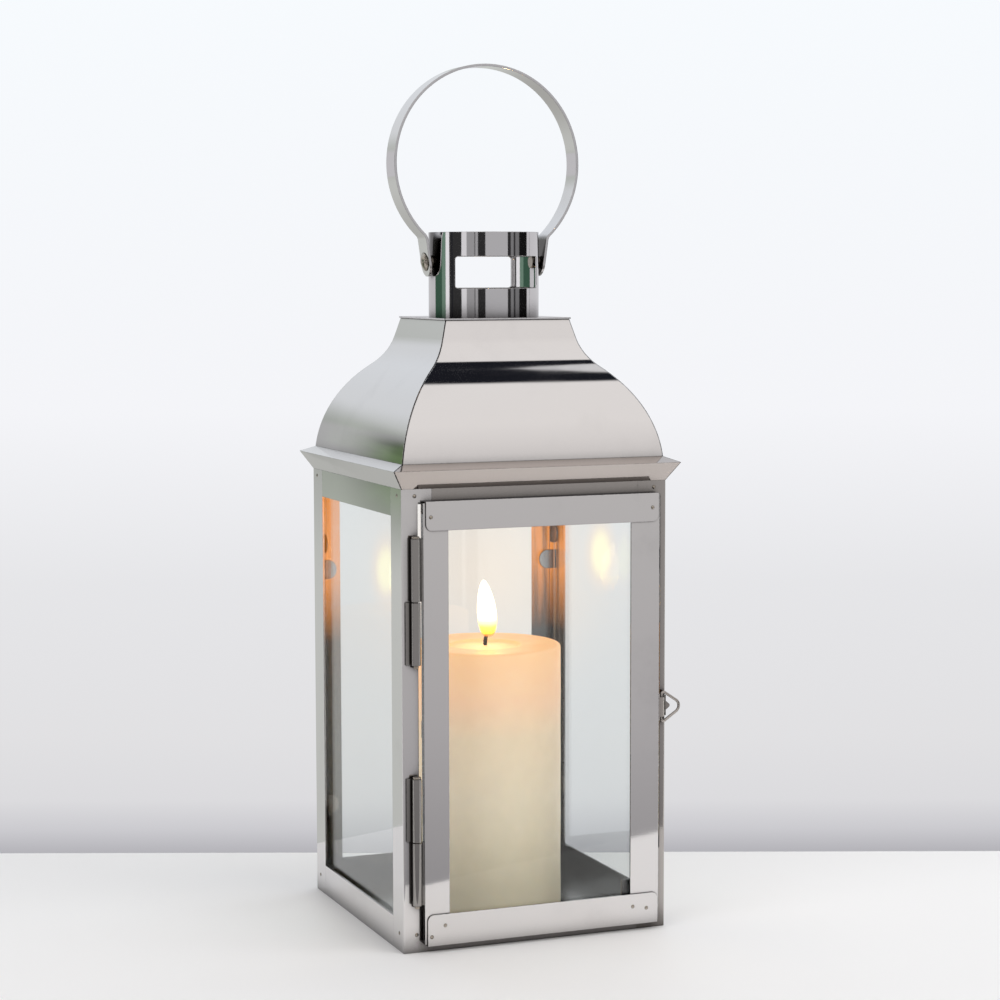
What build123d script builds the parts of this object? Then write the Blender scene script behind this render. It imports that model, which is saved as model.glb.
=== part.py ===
from build123d import *
import os
from math import radians, sin, sqrt

# Candle lantern: a square glazed body of folded sheet, a bell-shaped roof with a
# chimney collar, a strap handle, a hinged glass door with a wire latch, and a
# pillar candle. Millimetres, +Z up, -Y is the door side, and the origin is on the
# surface that the lantern stands on, under its middle.

# Body and frame
body_width = 136.0  # outside, square
post_height = 220.5
frame_sheet = 1.0  # thickness of posts, rails and tray
post_fold = 0.8  # outer radius of a post's fold
post_flange = 15.0
hinge_side_flange = 8.0  # what is left of the front flange beside the door
latch_side_flange = 3.0
latch_side_foot = 39.5  # below this the right post keeps a wider flange
latch_side_foot_flange = 4.4
notch_low = 5.8  # the front flanges are whole below and above the notch
notch_below_top = 7.1
rail_bottom_height = 15.2
rail_top_height = 13.5
rail_top_front_height = 7.1
rail_lip = 6.0  # the rails' inward fold
lap_length = 12.6  # how far a rail's lap reaches behind the post
lap_inside = 8.0  # and how far it runs along the rail
lap_front_height = 25.0  # the bottom front rail's laps stand higher
fit_gap = 0.2  # clearance between pieces that only lie beside each other
cut_past = 1.0  # how far a cut runs past what it cuts

# Panes and what holds them
glass_thickness = 2.0
pane_edge_gap = 4.5  # between a pane's edge and the posts' inner faces
pane_below_top = 4.5
pane_seat_gap = 0.1  # below each pane's lower edge
glass_face_gap = 0.1
clip_thickness = 0.8
clip_height = 10.0
clip_reach = 11.0
clip_foot = 4.0
side_clip_low = 40.0
side_clip_below_top = 38.5
back_clip_low = 45.0
back_clip_below_top = 52.5

# Spot rivets
rivet_shank_radius = 0.6
rivet_head_radius = 0.95
rivet_head_height = 0.35
rivet_hole_gap = 0.02
frame_rivet_inset = 6.5  # from the corner of the body
frame_rivet_low = 8.6
frame_rivet_below_top = 3.3

# Cornice, the sloping eave
roof_sheet = 0.8
cornice_overhang = 5.6
cornice_slope_height = 8.8
cornice_rim_height = 2.7
cornice_flange = 7.0
mitre_gap = 0.25  # half of the open joint between two mitred sheets

# Chimney collar
collar_radius = 27.3
collar_wall = 0.8
collar_height = 42.5  # above the roof's top
collar_foot_depth = 1.6  # below the cap
collar_hole_gap = 0.03
ring_width = 3.5
window_above_roof = 15.0
window_height = 15.6
window_half_angle = 51.5
window_corner = 1.5

# Roof, an ogee from the cornice to the cap
roof_foot_inset = 1.0
roof_foot_flange = 5.0
roof_bell_radius = 63.4
roof_bell_height = 42.9
roof_turn_height = 13.8  # between the bell and the straight neck
roof_turn_width = 9.0
roof_neck_height = 9.3
roof_neck_width = 2.6
roof_past_ring = 1.6
cap_edge = 0.7
cap_thickness = 0.8

# Handle
handle_width = 12.0
handle_sheet = 1.2
handle_hoop_radius = 48.0  # to the middle of the strap
handle_knee_gap = 4.7  # from the collar to the middle of the strap at its knee
handle_end_gap = 2.0  # and at its end
handle_end_drop = 7.2  # below the pivot
handle_knee_bend = 4.0
pivot_above_roof = 28.0
pivot_radius = 2.0
pivot_running_gap = 0.06
pivot_head_radius = 4.5
pivot_head_height = 2.0
pivot_head_rim = 0.3
pivot_shank_in_head = 0.5
pivot_shoulder_radius = 3.2
pivot_tail_radius = 3.2
pivot_tail_length = 1.2
pivot_side_gap = 0.1

# Door
door_inset_hinge_side = 9.5  # from the corner of the body
door_inset_latch_side = 5.0
door_bottom = 3.5
door_below_top = 5.7
door_sheet = 0.8
door_back_room = 0.3  # behind the pane, over the frame's rivet heads
door_stile_hinge_width = 12.5
door_stile_latch_width = 15.0
door_rail_top_height = 13.8
door_rail_bottom_height = 15.0
door_rail_inset_hinge_side = 1.2
door_rail_inset_latch_side = 0.7
door_rail_corner = 3.0
door_glass_gap = 0.5  # between the pane's edge and the stile's return
tab_above_rail = 5.5
tab_below_rail = 11.0
tab_height = 8.0
tab_reach = 6.5
# inset from the stile's edge and distance from the door's top or bottom
hinge_side_rivets_top = ((3.6, 7.4),)
hinge_side_rivets_bottom = ((9.9, 9.5), (3.1, 4.5))
latch_side_rivets_top = ((4.0, 7.0),)
latch_side_rivets_bottom = ((6.7, 7.6), (14.0, 8.9))

# Hinges
hinge_outside_door = 3.5
hinge_forward = 2.5  # the axis is this far in front of the frame
knuckle_radius = 2.2
pin_radius = 1.2
pin_running_gap = 0.05
pin_head_radius = 1.9
pin_head_height = 1.0
pin_head_gap = 0.1
pin_tail = 1.6
leaf_thickness = 0.8
leaf_outside_axis = 4.5  # how far the post's leaf reaches past the axis
knuckle_gap = 0.5
upper_knuckle_below_top = 82.5
upper_knuckle_length = 29.5
lower_knuckle_low = 54.0
lower_knuckle_length = 30.0

# Latch
latch_height = 109.8
latch_forward = 2.0  # the axis is this far in front of the frame
latch_half_height = 8.2
latch_reach = 12.2  # from the latch's axis to where the loop's two legs would meet
latch_wire_radius = 0.7
latch_bend = 1.2
latch_tip_bend = 3.4
latch_axis_out = 1.9  # from the door's edge
latch_barrel_radius = 1.6
latch_barrel_gap = 0.06
latch_barrel_half = 4.8
latch_plate_half = 6.6
latch_ends_gap = 0.2
catch_plate_half = 5.0
catch_plate_length = 7.0
catch_nose = 1.7
catch_nose_half = 2.0
catch_nose_tip_half = 0.5
catch_nose_lap = 0.1

# Candle
candle_radius = 38.0
candle_top = 135.0
candle_rim_round = 1.6
candle_floor_gap = 0.05
pool_radius = 18.0
pool_depth = 2.4
wick_radius = 0.9
wick_hole_gap = 0.03
wick_straight_above_pool = 2.3
wick_bend_radius = 14.0
wick_bend_angle = 28.0

# Worked out from the sizes above: the body and its door
half = body_width / 2
inner_face = half - frame_sheet
lap_face = inner_face - frame_sheet
flange_edge = half - post_flange
notch_high = post_height - notch_below_top
tray_top = 2 * frame_sheet
pane_half = inner_face - pane_edge_gap
pane_outer = lap_face - fit_gap
pane_inner = pane_outer - glass_thickness
pane_top = post_height - pane_below_top
door_left = -(half - door_inset_hinge_side)
door_right = half - door_inset_latch_side
door_top = post_height - door_below_top
door_rail_top_low = door_top - door_rail_top_height
door_rail_bottom_high = door_bottom + door_rail_bottom_height
door_back_y = -(half + fit_gap)
door_pane_y = door_back_y - door_back_room - glass_thickness
door_face_y = door_pane_y - glass_face_gap - door_sheet
door_front_y = door_face_y - door_sheet
hinge_x = door_left - hinge_outside_door
hinge_y = -(half + hinge_forward)
latch_x = door_right + latch_axis_out
latch_y = -(half + latch_forward)
quarter_turns = {"front": 0, "right": 90, "back": 180, "left": 270}
# name, where the post's knuckle begins, its length, and whether the door's is above it
hinges = (
    ("hinge_upper", post_height - upper_knuckle_below_top, upper_knuckle_length, True),
    ("hinge_lower", lower_knuckle_low, lower_knuckle_length, False),
)

# The cornice, the roof, the collar and the handle, each on top of the one before
cornice_rim_half = half + cornice_overhang
cornice_rim = post_height + cornice_slope_height
cornice_top = cornice_rim + cornice_rim_height
ring_radius = collar_radius + ring_width
roof_top_half = ring_radius + roof_past_ring
roof_neck_half = roof_top_half + roof_neck_width
roof_turn_half = roof_neck_half + roof_turn_width
roof_foot_half = half - roof_foot_inset
roof_turn = cornice_top + roof_bell_height
roof_neck = roof_turn + roof_turn_height
roof_top = roof_neck + roof_neck_height
cap_half = roof_top_half + cap_edge
cap_top = roof_top + cap_thickness
collar_foot = roof_top - collar_foot_depth
collar_top = roof_top + collar_height
window_middle = roof_top + window_above_roof + window_height / 2
pivot_height = roof_top + pivot_above_roof
hoop_middle = pivot_height + handle_hoop_radius
knee_half = collar_radius + handle_knee_gap
knee_height = hoop_middle - sqrt(handle_hoop_radius**2 - knee_half**2)
strap_end_half = collar_radius + handle_end_gap
strap_end_height = pivot_height - handle_end_drop
# how far the leg comes out for each millimetre up, and its middle at the pivot
leg_slope = (knee_half - strap_end_half) / (knee_height - strap_end_height)
leg_half_at_pivot = strap_end_half + handle_end_drop * leg_slope


def save(part, name):
    """Label a finished piece and write it as its own STEP file."""
    part.label = name
    export_step(part, f"parts/{name}.step")


def block(x, y, z, mode=Mode.ADD):
    """A box between pairs of coordinates, inside the current part."""
    with Locations(((x[0] + x[1]) / 2, (y[0] + y[1]) / 2, (z[0] + z[1]) / 2)):
        Box(x[1] - x[0], y[1] - y[0], z[1] - z[0], mode=mode)


def turned(part, angle):
    """The same piece on another side of the body."""
    return Rot(0, 0, angle) * part


# Frame ---------------------------------------------------------------------------


def rivet_points():
    """Frame rivets seen on the front face: across and up."""
    across = half - frame_rivet_inset
    heights = (frame_rivet_low, post_height - frame_rivet_below_top)
    return [(s * across, z) for s in (-1, 1) for z in heights]


def drill_frame_rivets(side_angle):
    """Holes for the rivets of one side, through flange and lap."""
    plane = Plane.XZ.rotated((0, 0, side_angle))
    with BuildSketch(plane.offset(lap_face - frame_sheet)) as holes:
        with Locations(*rivet_points()):
            Circle(rivet_shank_radius + rivet_hole_gap)
    extrude(holes.sketch, amount=3 * frame_sheet + cut_past, mode=Mode.SUBTRACT)


def corner_post(front_notch=0.0, side_notch=0.0, foot_notch=0.0):
    """A folded angle with its corner at the front left. A notch narrows a flange."""
    with BuildPart() as post:
        with BuildSketch():
            with BuildLine():
                Polyline(
                    (-half, -half),
                    (-flange_edge, -half),
                    (-flange_edge, -inner_face),
                    (-inner_face, -inner_face),
                    (-inner_face, -flange_edge),
                    (-half, -flange_edge),
                    close=True,
                )
            make_face()
            fillet(vertices().sort_by(Axis((0, 0, 0), (1, 1, 0)))[0], post_fold)
        extrude(amount=post_height)
        cut = (-half - cut_past, -inner_face + cut_past)
        if front_notch:
            block((-half + front_notch, -flange_edge), cut, (notch_low, notch_high), Mode.SUBTRACT)
        if side_notch:
            low = (-half + foot_notch, -flange_edge)
            high = (-half + side_notch, -flange_edge)
            block(cut, low, (notch_low, latch_side_foot), Mode.SUBTRACT)
            block(cut, high, (latch_side_foot, notch_high), Mode.SUBTRACT)
        drill_frame_rivets(0)
        drill_frame_rivets(-90)
    return post.part


def make_posts():
    """Two whole posts at the back and two notched ones beside the door."""
    save(corner_post(front_notch=hinge_side_flange), "post_front_left")
    right = corner_post(side_notch=latch_side_flange, foot_notch=latch_side_foot_flange)
    save(turned(right, 90), "post_front_right")
    save(turned(corner_post(), 180), "post_back_right")
    save(turned(corner_post(), 270), "post_back_left")


def frame_rail(low, high, lip_low, lap_high):
    """A front rail between the posts, with laps behind them and an inward lip."""
    with BuildPart() as rail:
        block((-flange_edge, flange_edge), (-half, -inner_face), (low, high))
        lip = (lip_low, lip_low + frame_sheet)
        block((-flange_edge, flange_edge), (-inner_face, -inner_face + rail_lip), lip)
        for s in (-1, 1):
            reach = sorted((s * (flange_edge - lap_inside), s * (flange_edge + lap_length)))
            block(reach, (-inner_face, -lap_face), (low, lap_high))
        drill_frame_rivets(0)
    return rail.part


def make_rails():
    """Four bottom rails that carry the tray and four top rails under the cornice."""
    for side, angle in quarter_turns.items():
        lap = lap_front_height if side == "front" else rail_bottom_height
        save(turned(frame_rail(0, rail_bottom_height, 0, lap), angle), f"rail_bottom_{side}")
        height = rail_top_front_height if side == "front" else rail_top_height
        low = post_height - height
        top = frame_rail(low, post_height, post_height - frame_sheet, post_height)
        save(turned(top, angle), f"rail_top_{side}")


def make_tray():
    """The floor that the candle stands on, lying on the bottom rails' lips."""
    edge = lap_face - fit_gap
    with BuildPart() as tray:
        block((-edge, edge), (-edge, edge), (frame_sheet, tray_top))
        fillet(tray.edges().filter_by(Axis.Z), post_fold)
    save(tray.part, "tray")


def make_panes():
    """Three fixed panes behind the posts."""
    with BuildPart() as pane:
        block((-pane_half, pane_half), (-pane_outer, -pane_inner), (tray_top + pane_seat_gap, pane_top))
        chamfer(pane.edges().filter_by(Axis.Z), fit_gap)
    for side in ("left", "right", "back"):
        save(turned(pane.part, quarter_turns[side]), f"pane_{side}")


def pane_clip(height):
    """A bent clip of the back pane's left end, seen from inside: its foot is on the
    post's flange and its rounded finger is on the glass."""
    front = -pane_inner + glass_face_gap
    back = front + clip_thickness
    z = (height - clip_height / 2, height + clip_height / 2)
    with BuildPart() as clip:
        block((-inner_face, -inner_face + clip_thickness), (back - clip_foot, back), z)
        block((-inner_face, -inner_face + clip_reach), (front, back), z)
        tip = clip.edges().filter_by(Axis.Y).group_by(Axis.X)[-1]
        fillet(tip, clip_height / 2 - fit_gap)
    return clip.part


def make_pane_clips():
    """Four clips for each fixed pane, two on each upright edge."""
    side_heights = (side_clip_low, post_height - side_clip_below_top)
    back_heights = (back_clip_low, post_height - back_clip_below_top)
    clips = []
    for side, heights in (("left", side_heights), ("right", side_heights), ("back", back_heights)):
        for height in heights:
            left_end = pane_clip(height)
            right_end = mirror(left_end, Plane.YZ)
            clips += [turned(end, quarter_turns[side]) for end in (left_end, right_end)]
    save(Compound(children=clips), "pane_clips")


def dome_radius(radius, height):
    """The ball that a rivet's head is a slice of."""
    return (radius**2 + height**2) / (2 * height)


def spot_rivet(inner, outer):
    """A small dome-head rivet along -Y, its head standing on the outer face."""
    with BuildPart() as rivet:
        with BuildSketch(Plane.YZ):
            with BuildLine():
                top = (-outer - rivet_head_height, 0)
                rim = (-outer, rivet_head_radius)
                Line((inner, 0), top)
                RadiusArc(top, rim, dome_radius(rivet_head_radius, rivet_head_height))
                Polyline(rim, (-outer, rivet_shank_radius), (inner, rivet_shank_radius), (inner, 0))
            make_face()
        revolve(axis=Axis.Y)
    return rivet.part


def make_frame_rivets():
    """Sixteen rivets that hold the rails' laps to the posts."""
    rivets = []
    for angle in quarter_turns.values():
        for x, z in rivet_points():
            rivets.append(turned(Pos(x, 0, z) * spot_rivet(-lap_face, half), angle))
    save(Compound(children=rivets), "frame_rivets")


# Roof ----------------------------------------------------------------------------


def mitred(piece):
    """Cut a long front sheet to the quarter that it fills between two hips."""
    with BuildPart() as quarter:
        add(piece)
        for s in (-1, 1):
            plane = Plane(origin=(s * -mitre_gap * sqrt(2), 0, 0), z_dir=(s * -1, -1, 0))
            split(bisect_by=plane, keep=Keep.TOP)
    return quarter.part


def make_cornice():
    """Four folded sheets: a flange on the frame, the slope, the rim and a top flange."""
    inner = half - cornice_flange - roof_sheet
    with BuildPart() as sheet:
        with BuildSketch(Plane.YZ):
            with BuildLine():
                Polyline(
                    (-inner, post_height),
                    (-half, post_height),
                    (-cornice_rim_half, cornice_rim),
                    (-roof_foot_half, cornice_top),
                    (-inner, cornice_top),
                )
                offset(amount=roof_sheet, side=Side.RIGHT)
            make_face()
        extrude(amount=cornice_rim_half + cut_past, both=True)
    front = mitred(sheet.part)
    for side, angle in quarter_turns.items():
        save(turned(front, angle), f"cornice_{side}")


def make_roof():
    """Four ogee sheets, each with a foot flange on the cornice."""
    with BuildPart() as sheet:
        with BuildSketch(Plane.YZ):
            with BuildLine():
                foot = (-roof_foot_half, cornice_top)
                Line((-roof_foot_half + roof_foot_flange, cornice_top), foot)
                bell = RadiusArc(foot, (-roof_turn_half, roof_turn), roof_bell_radius)
                turn = TangentArc(bell @ 1, (-roof_neck_half, roof_neck), tangent=bell % 1)
                Line(turn @ 1, (-roof_top_half, roof_top))
                offset(amount=roof_sheet, side=Side.RIGHT)
            make_face()
        extrude(amount=roof_foot_half + cut_past, both=True)
        block((-half, half), (-half, half), (roof_top, roof_top + cut_past), Mode.SUBTRACT)
    front = mitred(sheet.part)
    for side, angle in quarter_turns.items():
        save(turned(front, angle), f"roof_{side}")


def make_cap():
    """The square plate that closes the roof, with the vent hole for the collar."""
    with BuildPart() as cap:
        block((-cap_half, cap_half), (-cap_half, cap_half), (roof_top, cap_top))
        fillet(cap.edges().filter_by(Axis.Z), post_fold)
        with Locations((0, 0, cap_top)):
            Hole(collar_radius + collar_hole_gap)
    save(cap.part, "roof_cap")


def collar_window():
    """The straight cut that makes both windows, as wide as their half angle says."""
    across = 2 * collar_radius * sin(radians(window_half_angle))
    with BuildPart() as cutter:
        with BuildSketch(Plane.XZ):
            with Locations((0, window_middle)):
                RectangleRounded(across, window_height, window_corner)
        extrude(amount=collar_radius + cut_past, both=True)
    return cutter.part


def make_collar():
    """The chimney tube with a front and a back window and its two pivot holes."""
    window = collar_window()
    with BuildPart() as collar:
        with BuildSketch(Plane.XY.offset(collar_foot)):
            Circle(collar_radius)
            Circle(collar_radius - collar_wall, mode=Mode.SUBTRACT)
        extrude(amount=collar_top - collar_foot)
        add(window, mode=Mode.SUBTRACT)
        with BuildSketch(Plane.YZ):
            with Locations((0, pivot_height)):
                Circle(pivot_radius + pivot_running_gap)
        extrude(amount=collar_radius + cut_past, both=True, mode=Mode.SUBTRACT)
    save(collar.part, "collar")


def make_collar_ring():
    """The ring under the cap that the collar's foot is fixed in."""
    with BuildPart() as ring:
        with BuildSketch(Plane.XY.offset(collar_foot)):
            Circle(ring_radius)
            Circle(collar_radius + collar_hole_gap, mode=Mode.SUBTRACT)
        extrude(amount=collar_foot_depth)
    save(ring.part, "collar_ring")


# Handle --------------------------------------------------------------------------


def make_handle():
    """A hoop of flat strap with two short legs that lean in towards the collar."""
    knee = (knee_half, knee_height)
    end = (strap_end_half, strap_end_height)
    hoop_top = hoop_middle + handle_hoop_radius
    past_hoop = hoop_top + handle_width
    with BuildPart() as strap:
        with BuildSketch(Plane.XZ):
            with BuildLine() as path:
                Line((-end[0], end[1]), (-knee[0], knee[1]))
                ThreePointArc((-knee[0], knee[1]), (0, hoop_top), knee)
                Line(knee, end)
                fillet(path.vertices().group_by(Axis.Y)[1], handle_knee_bend)
                offset(amount=handle_sheet / 2, side=Side.BOTH)
            make_face()
        extrude(amount=handle_width / 2, both=True)
        with BuildSketch(Plane.YZ):
            with Locations((0, (strap_end_height + past_hoop) / 2)):
                SlotOverall(past_hoop - strap_end_height, handle_width, rotation=90)
        extrude(amount=handle_hoop_radius + handle_width, both=True, mode=Mode.INTERSECT)
        with BuildSketch(Plane.YZ):
            with Locations((0, pivot_height)):
                Circle(pivot_radius + rivet_hole_gap)
        extrude(amount=handle_hoop_radius, both=True, mode=Mode.SUBTRACT)
    save(strap.part, "handle_strap")


def round_along_x(start, length, radius):
    """A round length of the right pivot, inside the current part."""
    with BuildSketch(Plane.YZ.offset(start)) as section:
        with Locations((0, pivot_height)):
            Circle(radius)
    extrude(section.sketch, amount=length)


def handle_rivet():
    """The right pivot: a stepped shank along X and a dome head flat on the strap."""
    strap_half = handle_sheet / 2 * sqrt(1 + leg_slope**2)
    outer_face = leg_half_at_pivot + strap_half
    inner_face_low = leg_half_at_pivot - strap_half - pivot_shoulder_radius * leg_slope
    tail = sqrt((collar_radius - collar_wall) ** 2 - pivot_tail_radius**2) - pivot_side_gap
    tail_start = tail - pivot_tail_length
    shoulder_start = collar_radius + pivot_side_gap
    head = Plane(origin=(outer_face, 0, pivot_height), x_dir=(0, 1, 0), z_dir=(1, 0, -leg_slope))
    with BuildPart() as rivet:
        round_along_x(tail_start, outer_face - tail_start + pivot_shank_in_head, pivot_radius)
        round_along_x(tail_start, pivot_tail_length, pivot_tail_radius)
        round_along_x(
            shoulder_start, inner_face_low - shoulder_start - pivot_side_gap, pivot_shoulder_radius
        )
        with BuildSketch(head):
            Circle(pivot_head_radius)
        extrude(amount=pivot_head_rim)
        with BuildSketch(Plane(head.origin, x_dir=head.x_dir, z_dir=head.y_dir)) as half_dome:
            with BuildLine():
                rim = (pivot_head_radius, 0)
                top = (0, -pivot_head_height)
                Line((0, 0), rim)
                RadiusArc(rim, top, dome_radius(pivot_head_radius, pivot_head_height))
                Line(top, (0, 0))
            make_face()
        revolve(half_dome.sketch, axis=Axis(head.origin, head.z_dir))
    return rivet.part


def make_handle_rivets():
    """The two pivots, mirror images of each other."""
    right = handle_rivet()
    save(right, "handle_rivet_right")
    save(mirror(right, Plane.YZ), "handle_rivet_left")


# Door ----------------------------------------------------------------------------


def door_rivet_points():
    """Where the rails are riveted to the stiles, across and up."""
    points = [(door_left + inset, door_top - down) for inset, down in hinge_side_rivets_top]
    points += [(door_left + inset, door_bottom + up) for inset, up in hinge_side_rivets_bottom]
    points += [(door_right - inset, door_top - down) for inset, down in latch_side_rivets_top]
    points += [(door_right - inset, door_bottom + up) for inset, up in latch_side_rivets_bottom]
    return points


def door_stile(edge, width, side):
    """An upright of the door: its face, the return at its outer edge and the tabs
    bent over the pane. side is -1 at the hinges and 1 at the latch."""
    upright = (door_bottom + door_sheet, door_top - door_sheet)
    inside = edge - side * door_sheet
    tab_low = door_rail_bottom_high + tab_above_rail
    tab_high = door_rail_top_low - tab_below_rail
    tab_y = door_pane_y + glass_thickness + glass_face_gap
    with BuildPart() as stile:
        face = sorted((edge, edge - side * width))
        block(face, (door_face_y, door_face_y + door_sheet), upright)
        block(sorted((edge, inside)), (door_face_y, door_back_y), upright)
        for height in (tab_low, (tab_low + tab_high) / 2, tab_high):
            z = (height - tab_height / 2, height + tab_height / 2)
            block(sorted((edge, inside)), (door_face_y, tab_y + door_sheet), z)
            block(sorted((edge, edge - side * tab_reach)), (tab_y, tab_y + door_sheet), z)
        with BuildSketch(Plane.XZ):
            with Locations(*door_rivet_points()):
                Circle(rivet_shank_radius + rivet_hole_gap)
        extrude(amount=-door_front_y + cut_past, mode=Mode.SUBTRACT)
    return stile.part


def make_door_stiles():
    """The hinge stile is a little narrower than the latch stile."""
    save(door_stile(door_left, door_stile_hinge_width, -1), "door_stile_hinge_side")
    save(door_stile(door_right, door_stile_latch_width, 1), "door_stile_latch_side")


def door_rail(face_low, face_high, fold_low, round_edges_high):
    """A strip laid over the stiles, rounded at its free corners and folded back
    over their ends."""
    left = door_left + door_rail_inset_hinge_side
    right = door_right - door_rail_inset_latch_side
    with BuildPart() as rail:
        block((left, right), (door_front_y, door_face_y), (face_low, face_high))
        corners = rail.edges().filter_by(Axis.Y).group_by(Axis.Z)[-1 if round_edges_high else 0]
        fillet(corners, door_rail_corner)
        block((left, right), (door_front_y, door_back_y), (fold_low, fold_low + door_sheet))
        with BuildSketch(Plane.XZ):
            with Locations(*door_rivet_points()):
                Circle(rivet_shank_radius + rivet_hole_gap)
        extrude(amount=-door_front_y + cut_past, mode=Mode.SUBTRACT)
    return rail.part


def make_door_rails():
    """The top rail is folded over the stiles, the bottom one under them."""
    top = door_rail(door_rail_top_low, door_top, door_top - door_sheet, False)
    save(top, "door_rail_top")
    bottom = door_rail(door_bottom, door_rail_bottom_high, door_bottom, True)
    save(bottom, "door_rail_bottom")


def make_door_glass():
    """The door's pane, standing on the bottom rail's fold."""
    left = door_left + door_sheet + door_glass_gap
    right = door_right - door_sheet - door_glass_gap
    low = door_bottom + door_sheet + pane_seat_gap
    high = door_top - door_sheet - door_glass_gap
    with BuildPart() as pane:
        block((left, right), (door_pane_y, door_pane_y + glass_thickness), (low, high))
        chamfer(pane.edges().filter_by(Axis.Z), fit_gap)
    save(pane.part, "door_glass")


def make_door_rivets():
    """Rivets through the rails and the stiles, flush behind, where the pane lies."""
    rivet = spot_rivet(door_face_y + door_sheet, -door_front_y)
    rivets = [Pos(x, 0, z) * rivet for x, z in door_rivet_points()]
    save(Compound(children=rivets), "door_rivets")


# Hinges --------------------------------------------------------------------------


def knuckle(low, length):
    """A rolled knuckle about the hinge's axis, without its bore."""
    with BuildSketch(Plane.XY.offset(low)) as ring:
        with Locations((hinge_x, hinge_y)):
            Circle(knuckle_radius)
    extrude(ring.sketch, amount=length)


def bore_knuckle():
    """The pin's hole, right through the current part."""
    with BuildSketch() as hole:
        with Locations((hinge_x, hinge_y)):
            Circle(pin_radius + pin_running_gap)
    extrude(hole.sketch, amount=post_height, mode=Mode.SUBTRACT)


def post_leaf(low, length):
    """The frame's leaf lies on the front of the post's flange, under its knuckle."""
    outer = hinge_x - leaf_outside_axis
    with BuildPart() as leaf:
        knuckle(low, length)
        block((outer, hinge_x), (-half - leaf_thickness, -half), (low, low + length))
        bore_knuckle()
    return leaf.part


def door_leaf(low, length):
    """The door's leaf is a plate on the outside of the stile's return."""
    z = (low, low + length)
    plate = door_left - leaf_thickness
    with BuildPart() as leaf:
        knuckle(low, length)
        block((hinge_x, plate), (hinge_y - leaf_thickness / 2, hinge_y + leaf_thickness / 2), z)
        block((plate, door_left), (door_face_y + fit_gap, door_back_y - fit_gap), z)
        bore_knuckle()
    return leaf.part


def hinge_pin(low, length):
    """A loose pin with a small head on top."""
    with BuildPart() as pin:
        with BuildSketch(Plane.XY.offset(low - pin_tail)):
            with Locations((hinge_x, hinge_y)):
                Circle(pin_radius)
        extrude(amount=length + pin_tail + pin_head_height)
        with BuildSketch(Plane.XY.offset(low + length)):
            with Locations((hinge_x, hinge_y)):
                Circle(pin_head_radius)
        extrude(amount=pin_head_height)
        chamfer(pin.edges().filter_by(GeomType.CIRCLE).group_by(Axis.Z)[-1], fit_gap)
        chamfer(pin.edges().filter_by(GeomType.CIRCLE).group_by(Axis.Z)[0], fit_gap)
    return pin.part


def make_hinges():
    """Each hinge is a leaf on the post, a leaf on the door and a pin."""
    for name, low, length, door_above in hinges:
        door_low = low + length + knuckle_gap if door_above else low - length - knuckle_gap
        save(post_leaf(low, length), f"{name}_post_leaf")
        save(door_leaf(door_low, length), f"{name}_door_leaf")
        pin_low = min(low, door_low)
        pin_length = 2 * length + knuckle_gap + pin_head_gap
        save(hinge_pin(pin_low, pin_length), f"{name}_pin")


# Latch ---------------------------------------------------------------------------


def make_latch_bracket():
    """A plate on the latch stile's return with a short barrel for the wire."""
    low = latch_height - latch_plate_half
    with BuildPart() as bracket:
        plate = (door_right, door_right + leaf_thickness)
        z = (low, latch_height + latch_plate_half)
        block(plate, (door_face_y + fit_gap, door_back_y - fit_gap), z)
        with BuildSketch(Plane.XY.offset(latch_height - latch_barrel_half)):
            with Locations((latch_x, latch_y)):
                Circle(latch_barrel_radius)
        extrude(amount=2 * latch_barrel_half)
        with BuildSketch(Plane.XY.offset(low)):
            with Locations((latch_x, latch_y)):
                Circle(latch_wire_radius + latch_barrel_gap)
        extrude(amount=2 * latch_plate_half, mode=Mode.SUBTRACT)
    save(bracket.part, "latch_bracket")


def make_latch_wire():
    """A loop of wire with a round tip, whose two ends meet in the barrel."""
    points = [
        (latch_x, latch_y, latch_height - latch_ends_gap),
        (latch_x, latch_y, latch_height - latch_half_height),
        (latch_x + latch_reach, latch_y, latch_height),
        (latch_x, latch_y, latch_height + latch_half_height),
        (latch_x, latch_y, latch_height + latch_ends_gap),
    ]
    with BuildPart() as loop:
        with BuildLine() as path:
            FilletPolyline(*points, radius=(latch_bend, latch_tip_bend, latch_bend))
        with BuildSketch(Plane(path.line @ 0, z_dir=path.line % 0)):
            Circle(latch_wire_radius)
        sweep()
    save(loop.part, "latch_wire")


def make_latch_catch():
    """A bent tab on the right post, with a nose that the loop goes over."""
    low = latch_height - catch_plate_half
    plate_front = -half + post_fold
    nose_back = plate_front + catch_nose_lap
    with BuildPart() as catch:
        plate_y = (plate_front, plate_front + catch_plate_length)
        block((half, half + leaf_thickness), plate_y, (low, low + 2 * catch_plate_half))
        with BuildSketch(Plane.XZ.offset(-nose_back)):
            with BuildLine():
                Polyline(
                    (half, latch_height - catch_nose_half),
                    (half + leaf_thickness, latch_height - catch_nose_half),
                    (half + leaf_thickness + catch_nose, latch_height - catch_nose_tip_half),
                    (half + leaf_thickness + catch_nose, latch_height + catch_nose_tip_half),
                    (half + leaf_thickness, latch_height + catch_nose_half),
                    (half, latch_height + catch_nose_half),
                    close=True,
                )
            make_face()
        extrude(amount=leaf_thickness)
    save(catch.part, "latch_catch")


# Candle --------------------------------------------------------------------------


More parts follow.
